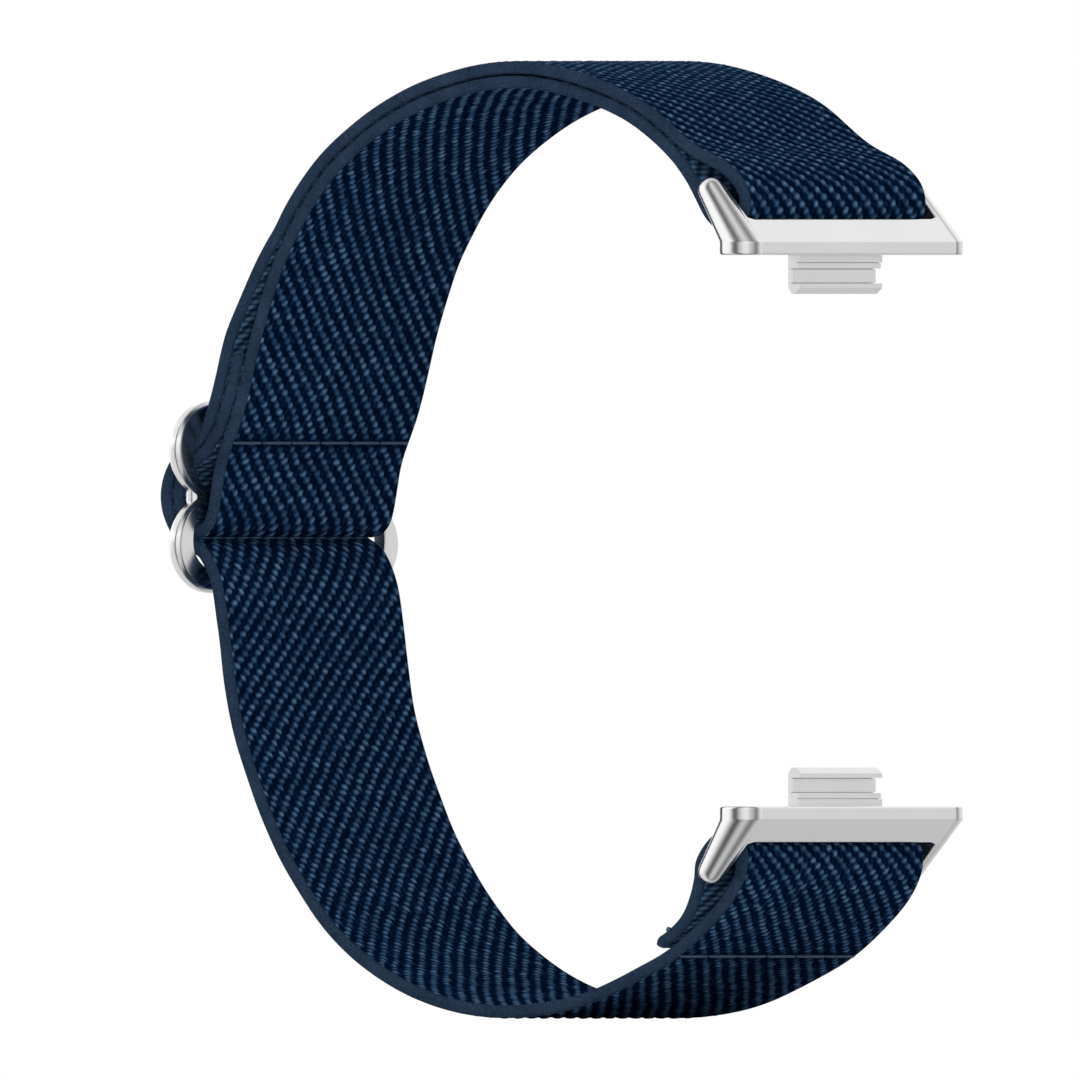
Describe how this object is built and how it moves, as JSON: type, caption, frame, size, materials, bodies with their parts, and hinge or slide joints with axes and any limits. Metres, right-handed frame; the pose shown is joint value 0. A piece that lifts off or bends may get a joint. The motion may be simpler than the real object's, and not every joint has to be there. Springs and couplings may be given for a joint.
{
  "type": "fitness tracker band",
  "caption": "Elastic woven loop band with a two-window adjusting buckle and a grooved plug-in connector on a spring bar at each end, for a slim fitness tracker.",
  "frame": {"origin": "centre of the wrist opening, midway between the two connectors, on the band's centre line", "axes": "+Z from the lower connector to the upper one, +Y across the band's width, +X from the buckle to the connectors"},
  "size_m": [0.0554, 0.0348, 0.0752],
  "materials": {
    "webbing": "navy twill-woven elastic nylon with smooth sealed edges",
    "thread": "blue-grey sewing thread",
    "buckle_metal": "satin, with bright chamfers",
    "connector_metal": "fine satin",
    "spring_bar_steel": "turned"
  },
  "bodies": {
    "band": {"lower_hem": "webbing", "lower_end_loop": "webbing", "lower_band": "webbing", "upper_outer_layer": "webbing", "upper_end_loop": "webbing", "upper_inner_layer": "webbing", "hem_seam": "thread"},
    "buckle": {"buckle": "buckle_metal", "outer_wrap": "webbing", "inner_wrap": "webbing", "sewn_tail": "webbing", "tail_seam": "thread"},
    "upper_connector": {"upper_connector_frame": "connector_metal", "upper_plug": "connector_metal", "upper_spring_bar_tube": "spring_bar_steel", "upper_spring_bar_coil": "spring_bar_steel"},
    "upper_front_tip": {"upper_spring_bar_front_tip": "spring_bar_steel"},
    "upper_back_tip": {"upper_spring_bar_back_tip": "spring_bar_steel"},
    "lower_connector": {"lower_connector_frame": "connector_metal", "lower_plug": "connector_metal", "lower_spring_bar_tube": "spring_bar_steel", "lower_spring_bar_coil": "spring_bar_steel"},
    "lower_front_tip": {"lower_spring_bar_front_tip": "spring_bar_steel"},
    "lower_back_tip": {"lower_spring_bar_back_tip": "spring_bar_steel"}
  },
  "joints": [
    {"name": "buckle_travel", "type": "hinge", "parent": "band", "child": "buckle", "pos_m": [0.0307, 0, -0.0007], "axis": [0, 1, 0], "range_deg": [-20, 20], "deforming": ["lower_band", "upper_outer_layer", "upper_inner_layer"]},
    {"name": "upper_connector_swivel", "type": "hinge", "parent": "band", "child": "upper_connector", "pos_m": [0.02165, 0, 0.0257], "axis": [0, 1, 0], "range_deg": [-20, 20]},
    {"name": "upper_front_tip_press", "type": "slide", "parent": "upper_connector", "child": "upper_front_tip", "axis": [0, 1, 0], "range_m": [0, 0.0011], "stiffness_N_per_m": 1500, "springref_m": -0.0005, "deforming": ["upper_spring_bar_coil"]},
    {"name": "upper_back_tip_press", "type": "slide", "parent": "upper_connector", "child": "upper_back_tip", "axis": [0, -1, 0], "range_m": [0, 0.0011], "stiffness_N_per_m": 1500, "springref_m": -0.0005, "deforming": ["upper_spring_bar_coil"]},
    {"name": "lower_connector_swivel", "type": "hinge", "parent": "band", "child": "lower_connector", "pos_m": [0.02165, 0, -0.0257], "axis": [0, 1, 0], "range_deg": [-20, 20]},
    {"name": "lower_front_tip_press", "type": "slide", "parent": "lower_connector", "child": "lower_front_tip", "axis": [0, 1, 0], "range_m": [0, 0.0011], "stiffness_N_per_m": 1500, "springref_m": -0.0005, "deforming": ["lower_spring_bar_coil"]},
    {"name": "lower_back_tip_press", "type": "slide", "parent": "lower_connector", "child": "lower_back_tip", "axis": [0, -1, 0], "range_m": [0, 0.0011], "stiffness_N_per_m": 1500, "springref_m": -0.0005, "deforming": ["lower_spring_bar_coil"]}
  ]
}
